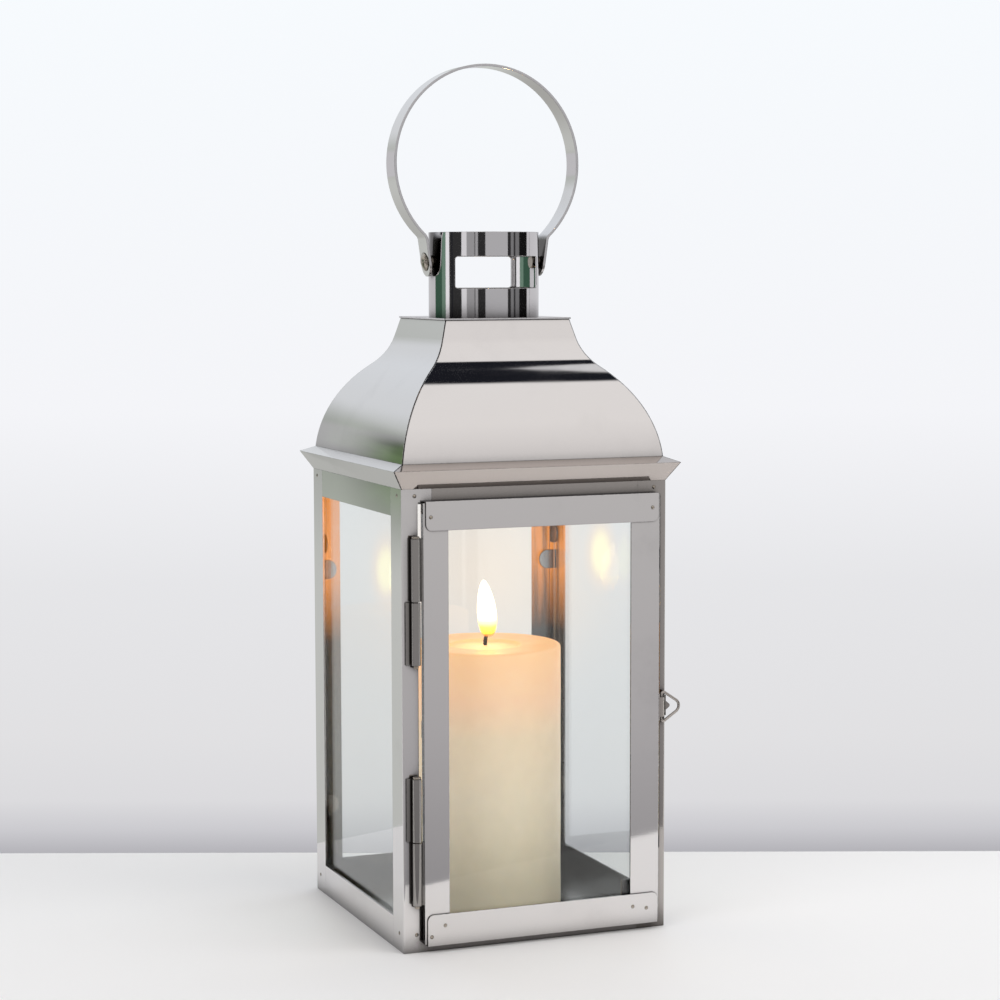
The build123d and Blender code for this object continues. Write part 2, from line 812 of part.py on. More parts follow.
def make_candle():
    """A wax pillar with a shallow melt pool and a hole for its wick."""
    floor = tray_top + candle_floor_gap
    with BuildPart() as wax:
        with BuildSketch(Plane.XY.offset(floor)):
            Circle(candle_radius)
        extrude(amount=candle_top - floor)
        fillet(wax.edges().filter_by(GeomType.CIRCLE), candle_rim_round)
        with BuildSketch(Plane.XY.offset(candle_top - pool_depth)):
            Circle(pool_radius)
        extrude(amount=pool_depth, mode=Mode.SUBTRACT)
        with Locations((0, 0, candle_top)):
            Hole(wick_radius + wick_hole_gap)
    save(wax.part, "candle_wax")


def make_wick():
    """The wick runs through the whole candle and leans over above the pool."""
    floor = tray_top + candle_floor_gap
    bend_low = candle_top - pool_depth + wick_straight_above_pool
    with BuildPart() as wick:
        with BuildLine(Plane.XZ) as path:
            Line((0, floor), (0, bend_low))
            JernArc((0, bend_low), (0, 1), wick_bend_radius, -wick_bend_angle)
        with BuildSketch(Plane.XY.offset(floor)):
            Circle(wick_radius)
        sweep(path=path.line)
    save(wick.part, "candle_wick")


os.makedirs("parts", exist_ok=True)
make_posts()
make_rails()
make_tray()
make_panes()
make_pane_clips()
make_frame_rivets()
make_cornice()
make_roof()
make_cap()
make_collar()
make_collar_ring()
make_handle()
make_handle_rivets()
make_door_stiles()
make_door_rails()
make_door_glass()
make_door_rivets()
make_hinges()
make_latch_bracket()
make_latch_wire()
make_latch_catch()
make_candle()
make_wick()
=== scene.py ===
"""Candle lantern: steel, glass, wax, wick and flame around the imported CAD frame, in a soft studio."""

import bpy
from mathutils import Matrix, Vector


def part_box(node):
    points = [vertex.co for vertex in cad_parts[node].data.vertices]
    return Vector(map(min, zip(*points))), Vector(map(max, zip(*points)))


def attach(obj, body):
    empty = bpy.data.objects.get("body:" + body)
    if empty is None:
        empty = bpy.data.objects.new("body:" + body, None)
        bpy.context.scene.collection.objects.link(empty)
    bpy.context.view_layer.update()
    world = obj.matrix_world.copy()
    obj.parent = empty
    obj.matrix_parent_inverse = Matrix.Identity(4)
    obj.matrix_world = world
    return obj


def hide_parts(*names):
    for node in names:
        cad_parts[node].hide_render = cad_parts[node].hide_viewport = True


bl_info = {
    "name": "Candle Lantern",
    "version": (1, 0, 0),
    "blender": (4, 5, 0),
    "location": "View3D > Sidebar > Lantern",
    "description": "Finishes a packed candle lantern in steel, glass and wax and sets it in a studio",
    "category": "Object",
}

from math import cos, pi, radians, sin

import bmesh
import bpy
from bpy.props import FloatProperty, FloatVectorProperty, PointerProperty
from mathutils import Matrix, Vector, noise

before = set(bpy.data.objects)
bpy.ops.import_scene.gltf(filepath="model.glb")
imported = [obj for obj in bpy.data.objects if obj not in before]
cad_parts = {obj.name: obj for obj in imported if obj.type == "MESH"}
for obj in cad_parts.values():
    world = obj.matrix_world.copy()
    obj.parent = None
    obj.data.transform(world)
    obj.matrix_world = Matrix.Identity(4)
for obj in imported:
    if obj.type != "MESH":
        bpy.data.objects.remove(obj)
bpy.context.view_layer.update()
MM = 0.001

UP = Vector((0, 0, 1))
BLACK = (0, 0, 0, 1)

SIDES = ("front", "right", "back", "left")
STEEL_NODES = {
    "body": [
        "pane_clips", "post_front_left", "rail_top_right", "rail_top_back",
        *(f"rail_bottom_{side}" for side in SIDES),
    ],
    "tray": ["tray"],
    "back_post": ["post_back_left", "post_back_right"],
    "left_rail": ["rail_top_left"],
    "door_side": ["post_front_right", "rail_top_front"],
    "roof": ["roof_cap", "collar_ring", *(f"roof_{side}" for side in SIDES)],
    "cornice": ["cornice_right", "cornice_back", "cornice_left"],
    "front_cornice": ["cornice_front"],
    "collar": ["collar"],
    "handle": ["handle_strap"],
    "door": ["door_stile_hinge_side", "door_stile_latch_side", "door_rail_top", "door_rail_bottom"],
    "hinge": [f"hinge_{level}_{leaf}_leaf" for level in ("upper", "lower") for leaf in ("door", "post")],
    "latch": ["latch_bracket", "latch_catch", "latch_wire"],
}
RIVET_NODES = ["frame_rivets", "door_rivets", "handle_rivet_left", "handle_rivet_right"]
RIVET_NODES += ["hinge_upper_pin", "hinge_lower_pin"]
PANE_NODES = ["pane_left", "pane_right", "pane_back", "door_glass"]

# Where a group's finish differs from plain polished steel: the colour painted on it for the reflections and
# shade it shows, its share of the wave height, how dark the painted shade on its sideways faces is, and how
# much painted glow of the flame's light it carries.
PAINTED_REFLECTION_TINTS = {
    "front_cornice": (0.54, 0.49, 0.46),
    "door_side": (0.47, 0.44, 0.42),
    "tray": (0.44, 0.45, 0.44),
    "left_rail": (0.63, 0.65, 0.59),
    "hinge": (0.34, 0.325, 0.31),
    "latch": (0.50, 0.46, 0.43),
}
WAVINESS = {"roof": 1.0, "cornice": 1.0, "front_cornice": 2.0, "body": 0.35, "door": 0.35}
SIDE_FACE_SHADE = {"door": 0.85}
FIRELIGHT = {"back_post": 0.9}
RIVET_ROUGHNESS = 0.24
# Colour of the painted shade in seams, corners and gaps between parts.
SEAM_SHADE = (0.035, 0.03, 0.027, 1)
# Colour of the flame's light painted on the back posts as a glow.
COPPER_GLOW = (0.95, 0.30, 0.04, 1)

# What stands round the studio at eye level and shows in the collar: the bearing where each
# stretch begins, in degrees to the right of the camera, and its colour.
UPRIGHTS = (
    (-180, (0.62, 0.62, 0.645)),
    (-121, (0.05, 0.11, 0.075)),
    (-98, (0.17, 0.27, 0.21)),
    (-86, (0.95, 0.95, 0.988)),
    (-77, (0.035, 0.035, 0.036)),
    (-47, (0.8, 0.8, 0.832)),
    (-36, (0.36, 0.36, 0.374)),
    (-19, (0.02, 0.02, 0.021)),
    (-17, (0.4, 0.4, 0.416)),
    (-12, (0.03, 0.03, 0.031)),
    (4, (0.5, 0.5, 0.52)),
    (52, (0.03, 0.03, 0.031)),
    (58, (0.22, 0.22, 0.229)),
    (66, (0.04, 0.04, 0.042)),
    (70, (0.2, 0.2, 0.208)),
    (79, (0.008, 0.008, 0.008)),
    (102, (0.66, 0.66, 0.686)),
)

# The softboxes: place towards the camera, to its right and up, and size, in metres; watts.
SOFTBOXES = {
    "key_softbox": (1.3, -1.1, 1.5, 1.3, 6),
    "fill_softbox": (0.8, 1.5, 0.9, 1.3, 12),
    "top_softbox": (-0.3, 0.0, 2.0, 1.6, 9),
}
SOFTBOX_AIM = Vector((0, 0, 0.15))

# Painted patches of the flame's light that the panes throw back on the wall: where they sit, to the right
# of the camera's axis and up;
# and the glow of such a patch: its reach, its full core, its share and its colour.
PANE_PATCHES = ((64 * MM, 167 * MM), (-53.5 * MM, 158 * MM))
PATCH_GLOW = (
    (11 * MM, 3 * MM, 0.7, (1.12, 0.88, 0.70, 1)),
    (7 * MM, 2.5 * MM, 1.0, (1.25, 1.15, 0.80, 1)),
)


# Sizes and colours that a user would change --------------------------------------


class LanternSteel(bpy.types.PropertyGroup):
    """The polished sheet."""

    tint: FloatVectorProperty(
        name="Steel Colour", description="Colour of the polished steel", subtype="COLOR", size=3,
        default=(0.77, 0.75, 0.745), min=0, max=1,
    )
    rivet_tint: FloatVectorProperty(
        name="Rivet Colour", description="Colour of rivets and pins", subtype="COLOR", size=3,
        default=(0.47, 0.42, 0.36), min=0, max=1,
    )
    roughness: FloatProperty(
        name="Roughness", description="How blurred the sheet's reflections are", default=0.05, min=0, max=1,
    )
    edge_round: FloatProperty(
        name="Edge Rounding", description="Radius of the sheets' cut edges", default=0.4 * MM,
        subtype="DISTANCE", min=0,
    )
    wave_size: FloatProperty(
        name="Wave Size", description="Distance between the pressed sheets' faint waves", default=45 * MM,
        subtype="DISTANCE", min=1 * MM,
    )
    wave_height: FloatProperty(
        name="Wave Height", description="Height of those waves", default=0.10 * MM, subtype="DISTANCE",
        min=0,
    )


class LanternGlass(bpy.types.PropertyGroup):
    """The four panes."""

    tint: FloatVectorProperty(
        name="Glass Colour", description="Faint colour of the panes", subtype="COLOR", size=3,
        default=(0.955, 0.975, 0.97), min=0, max=1,
    )


class LanternCandle(bpy.types.PropertyGroup):
    """The pillar candle and its flame."""

    wax: FloatVectorProperty(
        name="Wax Colour", description="Colour of the wax", subtype="COLOR", size=3,
        default=(0.56, 0.49, 0.36), min=0, max=1,
    )
    warm_wax: FloatVectorProperty(
        name="Lit Wax Colour", description="Colour of the light that glows in the wax", subtype="COLOR",
        size=3, default=(1.0, 0.62, 0.24), min=0, max=1,
    )
    glow_depth: FloatProperty(
        name="Glow Reach", description="How far from the wick the wax glows", default=24 * MM,
        subtype="DISTANCE", min=4 * MM,
    )
    flame_height: FloatProperty(
        name="Flame Height", description="Height of the flame", default=30 * MM, subtype="DISTANCE",
        min=5 * MM,
    )
    flame_width: FloatProperty(
        name="Flame Width", description="Width of the flame", default=10.4 * MM, subtype="DISTANCE",
        min=2 * MM,
    )


class LanternStudio(bpy.types.PropertyGroup):
    """Camera, table and backdrop."""

    yaw: FloatProperty(
        name="Camera Yaw", description="How far round to the left the camera stands", subtype="ANGLE",
        default=radians(21.73),
    )
    pitch: FloatProperty(
        name="Camera Pitch", description="How far the camera looks down", subtype="ANGLE",
        default=radians(5.39),
    )
    roll: FloatProperty(
        name="Camera Roll", description="How far the camera leans", subtype="ANGLE", default=radians(-0.13),
    )
    lens: FloatProperty(name="Lens", description="Focal length in millimetres", default=88.92, min=10)
    distance: FloatProperty(
        name="Camera Distance", description="From the lantern, in widths of its body", default=9.09,
        min=2,
    )
    across: FloatProperty(
        name="Camera Offset", description="Shift to the right, in widths of the body", default=0.058,
    )
    height: FloatProperty(
        name="Aim Height", description="Height of the point aimed at, in widths of the body", default=1.524,
    )
    table_front: FloatProperty(
        name="Table Front", description="Distance of the table's front edge", default=185 * MM,
        subtype="DISTANCE",
    )
    table_back: FloatProperty(
        name="Table Back", description="Distance of the wall behind the lantern", default=116 * MM,
        subtype="DISTANCE",
    )


# Shader building -----------------------------------------------------------------


def node(tree, kind, inputs=None, **settings):
    """Add a shader node with its settings; inputs hold values, or sockets to link."""
    made = tree.nodes.new(kind)
    for name, value in settings.items():
        setattr(made, name, value)
    for name, value in (inputs or {}).items():
        if isinstance(value, bpy.types.NodeSocket):
            tree.links.new(value, made.inputs[name])
        else:
            made.inputs[name].default_value = value
    return made


def calc(tree, operation, *values):
    """One Math node's result."""
    return node(tree, "ShaderNodeMath", dict(enumerate(values)), operation=operation).outputs[0]


def vector_calc(tree, operation, *values, output="Vector"):
    """One Vector Math node's result."""
    made = node(tree, "ShaderNodeVectorMath", dict(enumerate(values)), operation=operation)
    return made.outputs[output]


def axis_value(tree, vector, axis):
    """One part of a vector."""
    return node(tree, "ShaderNodeSeparateXYZ", {0: vector}).outputs[axis]


def spread(tree, value, low, high, to_low=0.0, to_high=1.0):
    """Map a value smoothly from one range to another."""
    made = node(tree, "ShaderNodeMapRange", {0: value, 1: low, 2: high, 3: to_low, 4: to_high})
    made.interpolation_type = "SMOOTHSTEP"
    return made.outputs[0]


def spread_line(tree, value, low, high):
    """Map a value evenly from a range to 0 to 1."""
    return node(tree, "ShaderNodeMapRange", {0: value, 1: low, 2: high}).outputs[0]


def blend_colour(tree, share, first, second):
    """Mix two colours by a share."""
    mixer = node(tree, "ShaderNodeMix", {0: share, 6: first, 7: second}, data_type="RGBA")
    return mixer.outputs[2]


def coordinates(tree, stretch=(1, 1, 1)):
    """Object coordinates in metres, stretched along the axes."""
    place = node(tree, "ShaderNodeTexCoord").outputs["Object"]
    return vector_calc(tree, "MULTIPLY", place, stretch)


def object_normal(tree):
    """The surface's normal along the object's own axes."""
    return node(tree, "ShaderNodeTexCoord").outputs["Normal"]


def noise_value(tree, vector, size, detail=2.0, roughness=0.5):
    """Noise whose features are about size across; size is metres or a socket in metres."""
    scale = calc(tree, "DIVIDE", 1.0, size) if isinstance(size, bpy.types.NodeSocket) else 1 / size
    made = node(tree, "ShaderNodeTexNoise", {"Vector": vector, "Scale": scale, "Detail": detail})
    made.inputs["Roughness"].default_value = roughness
    return made.outputs[0]


def colour_ramp(tree, value, stops, blend="EASE"):
    """A colour ramp over 0 to 1 from (place, colour) stops."""
    made = node(tree, "ShaderNodeValToRGB", {0: value})
    made.color_ramp.interpolation = blend
    elements = made.color_ramp.elements
    while len(elements) < len(stops):
        elements.new(1.0)
    for element, (place, colour) in zip(elements, stops):
        element.position = place
        element.color = colour if len(colour) == 4 else (*colour, 1)
    return made.outputs[0]


def new_group(name, inputs, outputs):
    """A shader node group with named sockets: its tree, its inputs and its outputs."""
    tree = bpy.data.node_groups.new(name, "ShaderNodeTree")
    for label, default in inputs.items():
        kind = "NodeSocketColor" if hasattr(default, "__len__") else "NodeSocketFloat"
        tree.interface.new_socket(label, in_out="INPUT", socket_type=kind).default_value = default
    for label, kind in outputs.items():
        tree.interface.new_socket(label, in_out="OUTPUT", socket_type=kind)
    return tree, tree.nodes.new("NodeGroupInput").outputs, tree.nodes.new("NodeGroupOutput").inputs


def effect(tree, group, **values):
    """Place a shared node group in a material with its own values."""
    placed = node(tree, "ShaderNodeGroup", node_tree=bpy.data.node_groups[group])
    for label, value in values.items():
        placed.inputs[label.replace("_", " ").title()].default_value = value
    return placed.outputs


def make_sheet_wave_group():
    """Faint large waves of a pressed sheet, as a height in metres."""
    tree, given, result = new_group(
        "Sheet Wave", {"Wave Size": 0.04, "Wave Height": 0.0001}, {"Height": "NodeSocketFloat"}
    )
    wave = noise_value(tree, coordinates(tree), given["Wave Size"], detail=1.0)
    tree.links.new(calc(tree, "MULTIPLY", wave, given["Wave Height"]), result["Height"])


def make_polish_group():
    """Fine lines that polishing leaves along a sheet: a mask and a height in metres."""
    tree, given, result = new_group(
        "Polishing Lines",
        {"Line Width": 0.0006, "Line Height": 0.000002},
        {"Mask": "NodeSocketFloat", "Height": "NodeSocketFloat"},
    )
    upright = noise_value(tree, coordinates(tree, (1, 1, 0.02)), given["Line Width"], detail=3.0)
    level = noise_value(tree, coordinates(tree, (0.03, 0.03, 1)), given["Line Width"], detail=3.0)
    lines = calc(tree, "MAXIMUM", upright, level)
    tree.links.new(spread(tree, lines, 0.52, 0.72), result["Mask"])
    tree.links.new(calc(tree, "MULTIPLY", lines, given["Line Height"]), result["Height"])


def make_smudge_group():
    """Marks of handling: a mask of soft patches with finer breaks in them."""
    tree, given, result = new_group(
        "Handling Smudges", {"Patch Size": 0.02, "Cover": 0.5}, {"Mask": "NodeSocketFloat"}
    )
    patch = noise_value(tree, coordinates(tree), given["Patch Size"], detail=3.0)
    grain = noise_value(tree, coordinates(tree), 0.0025, detail=4.0, roughness=0.7)
    edge = calc(tree, "SUBTRACT", 1.0, given["Cover"])
    soft = spread(tree, patch, edge, calc(tree, "ADD", edge, 0.25))
    tree.links.new(calc(tree, "MULTIPLY", soft, grain), result["Mask"])


def make_edge_wear_and_shade_group():
    """Rounded cut edges: their normal, and a mask that is strong on them, broken up by grain; the steel
    uses the mask for wear and for painted dark edge lines standing in for reflections of the dark room.
    """
    tree, given, result = new_group(
        "Edge Wear and Shade", {"Edge Width": 0.0005}, {"Mask": "NodeSocketFloat", "Normal": "NodeSocketVector"}
    )
    rounded = node(tree, "ShaderNodeBevel", {"Radius": given["Edge Width"]}, samples=4)
    flat = node(tree, "ShaderNodeNewGeometry")
    same = vector_calc(tree, "DOT_PRODUCT", rounded.outputs[0], flat.outputs["Normal"], output="Value")
    turned = spread(tree, same, 0.995, 0.90)
    grain = noise_value(tree, coordinates(tree), 0.002, detail=4.0, roughness=0.7)
    tree.links.new(calc(tree, "MULTIPLY", turned, spread(tree, grain, 0.35, 0.65)), result["Mask"])
    tree.links.new(rounded.outputs[0], result["Normal"])


def make_mill_finish_and_shade_group():
    """A mask of the sheets' inner faces, which are left as rolled, not polished, and which the steel also
    darkens with painted shade.
    """
    tree, given, result = new_group(
        "Mill Finish and Inner Shade", {"Half Width": 0.067, "Top": 0.22}, {"Mask": "NodeSocketFloat"}
    )
    axes = node(tree, "ShaderNodeSeparateXYZ", {0: coordinates(tree)}).outputs
    across = calc(tree, "MAXIMUM", calc(tree, "ABSOLUTE", axes["X"]), calc(tree, "ABSOLUTE", axes["Y"]))
    slack = 0.2 * MM
    inside = calc(tree, "LESS_THAN", across, calc(tree, "ADD", given["Half Width"], slack))
    under = calc(tree, "LESS_THAN", axes["Z"], given["Top"])
    tree.links.new(calc(tree, "MULTIPLY", inside, under), result["Mask"])


def make_crevice_shade_group():
    """A mask of seams and corners, where painted shade darkens the colour because little light comes in."""
    tree, given, result = new_group(
        "Crevice Shade", {"Reach": 0.007, "Darkness": 0.9}, {"Mask": "NodeSocketFloat"}
    )
    open_share = node(tree, "ShaderNodeAmbientOcclusion", {"Distance": given["Reach"]}, samples=8)
    closed = spread(tree, open_share.outputs["AO"], 0.95, 0.35)
    tree.links.new(calc(tree, "MULTIPLY", closed, given["Darkness"]), result["Mask"])


def make_firelight_group():
    """A mask of the faces that look at the flame, from a low height up to a full one."""
    tree, given, result = new_group("Firelight", {"Low": 0.1, "High": 0.14}, {"Mask": "NodeSocketFloat"})
    place = coordinates(tree)
    inward = vector_calc(tree, "NORMALIZE", vector_calc(tree, "MULTIPLY", place, (-1, -1, 0)))
    facing = vector_calc(tree, "DOT_PRODUCT", inward, object_normal(tree), output="Value")
    streaks = noise_value(tree, coordinates(tree, (1, 1, 0.05)), 4 * MM, detail=3.0)
    streaks = spread(tree, streaks, 0.30, 0.60, 0.2)
    share = calc(tree, "MULTIPLY", spread(tree, facing, 0.3, 0.7), streaks)
    rise = spread_line(tree, axis_value(tree, place, "Z"), given["Low"], given["High"])
    tree.links.new(calc(tree, "MULTIPLY", share, rise), result["Mask"])


def new_material(name):
    """A material with one Principled surface: the material, its tree and the surface node."""
    material = bpy.data.materials.new(name)
    material.use_nodes = True
    tree = material.node_tree
    tree.nodes.clear()
    surface = node(tree, "ShaderNodeBsdfPrincipled")
    node(tree, "ShaderNodeOutputMaterial", {"Surface": surface.outputs[0]})
    return material, tree, surface


def rgba(colour, share=1.0):
    """A colour property as four numbers, darkened by a share."""
    return (*(part * share for part in colour), 1.0)


def add_bump(tree, surface, height, normal=None):
    """Raise the surface by a height in metres, on top of another normal if there is one."""
    bump = node(tree, "ShaderNodeBump", {"Height": height, "Distance": 1.0, "Strength": 1.0})
    if normal is not None:
        tree.links.new(normal, bump.inputs["Normal"])
    tree.links.new(bump.outputs[0], surface.inputs["Normal"])


def add_glow(tree, surface, colour, strength=1.0):
    """Let the surface give off a colour."""
    tree.links.new(colour, surface.inputs["Emission Color"])
    surface.inputs["Emission Strength"].default_value = strength


def mix_on_output(tree, share, first, second):
    """Put a mix of two shaders on the material's output."""
    both = node(tree, "ShaderNodeMixShader", {0: share, 1: first, 2: second})
    output = next(n for n in tree.nodes if n.type == "OUTPUT_MATERIAL")
    tree.links.new(both.outputs[0], output.inputs["Surface"])


def steel_material(name, colour, roughness, wave_height, steel, side_shade=0.0, firelight=0.0):
    """Polished steel with sheet waves, polishing lines, smudges, worn edges with painted dark edge lines,
    and painted shade in seams and on inner faces;
    painted shade darkens the faces turned sideways, and a painted glow of firelight warms those that look
    at the flame."""
    material, tree, surface = new_material(name)
    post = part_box("post_front_right")[1]
    lines = effect(tree, "Polishing Lines", line_width=0.7 * MM, line_height=0.0012 * MM)
    smudges = effect(tree, "Handling Smudges", patch_size=28 * MM, cover=0.46)
    edges = effect(tree, "Edge Wear and Shade", edge_width=steel.edge_round)
    waves = effect(tree, "Sheet Wave", wave_size=steel.wave_size, wave_height=wave_height)
    inner = effect(tree, "Mill Finish and Inner Shade", half_width=post.x - 1 * MM, top=post.z - 0.5 * MM)
    seams = effect(tree, "Crevice Shade", reach=14 * MM, darkness=0.9)
    layers = [
        (smudges["Mask"], 1.0, rgba(colour, 0.90)),
        # Painted reflection: rounded edges are darkened in colour as if they mirrored the dark room; their
        # added roughness is wear.
        (edges["Mask"], 0.85, rgba(colour, 0.25)),
        # Painted shade: the faces inside the lantern are darkened in colour; their extra roughness is the
        # rolled finish.
        (inner["Mask"], 0.8, rgba(colour, 0.55)),
        # Painted shade: seams, corners and gaps between parts are darkened almost to black.
        (seams["Mask"], 1.0, SEAM_SHADE),
    ]
    # Painted shade: faces turned sideways are darkened in colour.
    if side_shade:
        sideways = calc(tree, "ABSOLUTE", axis_value(tree, object_normal(tree), "X"))
        layers.append((spread(tree, sideways, 0.6, 0.9), side_shade, rgba(colour, 0.12)))
    shade = rgba(colour)
    for mask, share, laid_on in layers:
        shade = blend_colour(tree, calc(tree, "MULTIPLY", mask, share), shade, laid_on)
    tree.links.new(shade, surface.inputs["Base Color"])
    # Painted light: faces that look at the flame glow in copper as if lit by it.
    if firelight:
        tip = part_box("candle_wick")[1].z
        warm = effect(tree, "Firelight", low=tip - 12 * MM, high=tip + 24 * MM)
        share = calc(tree, "MULTIPLY", warm["Mask"], firelight)
        add_glow(tree, surface, blend_colour(tree, share, BLACK, COPPER_GLOW))
    rough = roughness
    for marks, added in ((smudges, 0.06), (lines, 0.02), (edges, 0.15), (inner, 0.16)):
        rough = calc(tree, "ADD", rough, calc(tree, "MULTIPLY", marks["Mask"], added))
    tree.links.new(rough, surface.inputs["Roughness"])
    add_bump(tree, surface, calc(tree, "ADD", waves["Height"], lines["Height"]), edges["Normal"])
    surface.inputs["Metallic"].default_value = 1.0
    return material


def glass_material(settings):
    """Clear sheet glass with faint smudges that lets the lamps light what is behind it."""
    material, tree, surface = new_material("pane_glass")
    smudges = effect(tree, "Handling Smudges", patch_size=30 * MM, cover=0.42)
    surface.inputs["Transmission Weight"].default_value = 1.0
    surface.inputs["IOR"].default_value = 1.46
    tint = blend_colour(tree, smudges["Mask"], rgba(settings.tint), rgba(settings.tint, 0.97))
    tree.links.new(tint, surface.inputs["Base Color"])
    tree.links.new(calc(tree, "MULTIPLY", smudges["Mask"], 0.03), surface.inputs["Roughness"])
    ray = node(tree, "ShaderNodeLightPath")
    passing = calc(tree, "MAXIMUM", ray.outputs["Is Shadow Ray"], ray.outputs["Is Diffuse Ray"])
    open_way = node(tree, "ShaderNodeBsdfTransparent", {"Color": rgba(settings.tint)})
    mix_on_output(tree, passing, surface.outputs[0], open_way.outputs[0])
    return material


# Meshes ---------------------------------------------------------------------------


def smooth_object(name, made, material, smooth=True):
    """Link a bmesh as an object with one material."""
    mesh = bpy.data.meshes.new(name)
    made.to_mesh(mesh)
    made.free()
    for face in mesh.polygons:
        face.use_smooth = smooth
    piece = bpy.data.objects.new(name, mesh)
    bpy.context.scene.collection.objects.link(piece)
    if material:
        mesh.materials.append(material)
    return piece


def turned_mesh(profile, segments):
    """Turn a profile of (radius, height) about Z; ends with no radius are closed to a point."""
    made = bmesh.new()
    rings = []
    for radius, height in profile:
        if radius == 0:
            rings.append([made.verts.new((0, 0, height))])
            continue
        turn = [2 * pi * i / segments for i in range(segments)]
        rings.append([made.verts.new((radius * cos(a), radius * sin(a), height)) for a in turn])
    for lower, upper in zip(rings, rings[1:]):
        for i in range(segments):
            j = (i + 1) % segments
            corners = [lower[i % len(lower)], lower[j % len(lower)]]
            corners += [upper[j % len(upper)], upper[i % len(upper)]]
            made.faces.new(list(dict.fromkeys(corners)))
    return made


def tube_mesh(made, path, radius, sides):
    """Add a round tube along a list of points, with closed ends."""
    rings = []
    for i, point in enumerate(path):
        ahead = path[min(i + 1, len(path) - 1)] - path[max(i - 1, 0)]
        turn = ahead.to_track_quat("Z", "Y")
        steps = [2 * pi * k / sides for k in range(sides)]
        rings.append([made.verts.new(point + turn @ Vector((cos(a), sin(a), 0)) * radius) for a in steps])
    for lower, upper in zip(rings, rings[1:]):
        for i in range(sides):
            j = (i + 1) % sides
            made.faces.new((lower[i], lower[j], upper[j], upper[i]))
    made.faces.new(reversed(rings[0]))
    made.faces.new(rings[-1])


def give_material(names, material):
    """Put one material on CAD nodes."""
    for name in names:
        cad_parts[name].material_slots[0].material = material


# Operators ------------------------------------------------------------------------


class LanternOperator(bpy.types.Operator):
    """Shared by the lantern's operators."""

    bl_options = {"REGISTER", "UNDO"}


class LANTERN_OT_effects(LanternOperator):
    """Build the shared node groups, from sheet waves to firelight, that the materials use"""

    bl_idname = "lantern.effects"
    bl_label = "Shared Effects"

    def execute(self, context):
        make_sheet_wave_group()
        make_polish_group()
        make_smudge_group()
        make_edge_wear_and_shade_group()
        make_mill_finish_and_shade_group()
        make_crevice_shade_group()
        make_firelight_group()
        return {"FINISHED"}


class LANTERN_OT_steel(LanternOperator):
    """Finish the body, roof, collar, handle, door, hinges and latch in polished steel"""

    bl_idname = "lantern.steel"
    bl_label = "Polished Steel"

    def execute(self, context):
        steel = context.scene.lantern_steel
        for group, names in STEEL_NODES.items():
            material = steel_material(
                f"{group}_steel", PAINTED_REFLECTION_TINTS.get(group, steel.tint), steel.roughness,
                steel.wave_height * WAVINESS.get(group, 0.0), steel,
                SIDE_FACE_SHADE.get(group, 0.0), FIRELIGHT.get(group, 0.0),
            )
            give_material(names, material)
        return {"FINISHED"}


class LANTERN_OT_rivets(LanternOperator):
    """Finish the rivets and hinge pins in duller steel"""

    bl_idname = "lantern.rivets"
    bl_label = "Rivets and Pins"

    def execute(self, context):
        steel = context.scene.lantern_steel
        material = steel_material("rivet_steel", steel.rivet_tint, RIVET_ROUGHNESS, 0.0, steel)
        give_material(RIVET_NODES, material)
        return {"FINISHED"}


class LANTERN_OT_panes(LanternOperator):
    """Finish the four panes in clear glass"""

    bl_idname = "lantern.panes"
    bl_label = "Glass Panes"

    def execute(self, context):
        material = glass_material(context.scene.lantern_glass)
        give_material(PANE_NODES, material)
        return {"FINISHED"}


def wax_material(settings, low, high):
    """Ivory wax, translucent, mottled, with a painted glow that rises towards the flame."""
    material, tree, surface = new_material("ivory_wax")
    place = coordinates(tree)
    mottle = noise_value(tree, place, 11 * MM, detail=5.0, roughness=0.6)
    pits = noise_value(tree, place, 1.2 * MM)
    plain = blend_colour(tree, spread(tree, mottle, 0.3, 0.7), rgba(settings.wax), rgba(settings.wax, 0.93))
    tree.links.new(plain, surface.inputs["Base Color"])
    # Painted light: emission rising with height, and warmer near the wick, stands in for the flame's light
    # through the wax.
    lit = colour_ramp(
        tree, spread_line(tree, axis_value(tree, place, "Z"), low, high),
        [(0.0, (0.13, 0.115, 0.085)), (0.12, (0.17, 0.145, 0.10)), (0.45, (0.34, 0.275, 0.205)),
         (0.68, (0.42, 0.30, 0.20)), (0.82, (0.56, 0.28, 0.145)), (1.0, (0.70, 0.32, 0.10))],
        "LINEAR",
    )
    wick = vector_calc(tree, "DISTANCE", place, UP * high, output="Value")
    near = calc(tree, "POWER", spread(tree, wick, settings.glow_depth, 3 * MM), 1.5)
    add_glow(tree, surface, blend_colour(tree, near, lit, rgba(settings.warm_wax)))
    surface.inputs["Subsurface Weight"].default_value = 0.55
    surface.inputs["Subsurface Radius"].default_value = (1.0, 0.55, 0.30)
    surface.inputs["Subsurface Scale"].default_value = 9 * MM
    tree.links.new(spread(tree, mottle, 0.3, 0.7, 0.36, 0.50), surface.inputs["Roughness"])
    swells = calc(tree, "MULTIPLY", mottle, 0.22 * MM)
    add_bump(tree, surface, calc(tree, "ADD", swells, calc(tree, "MULTIPLY", pits, 0.01 * MM)))
    return material


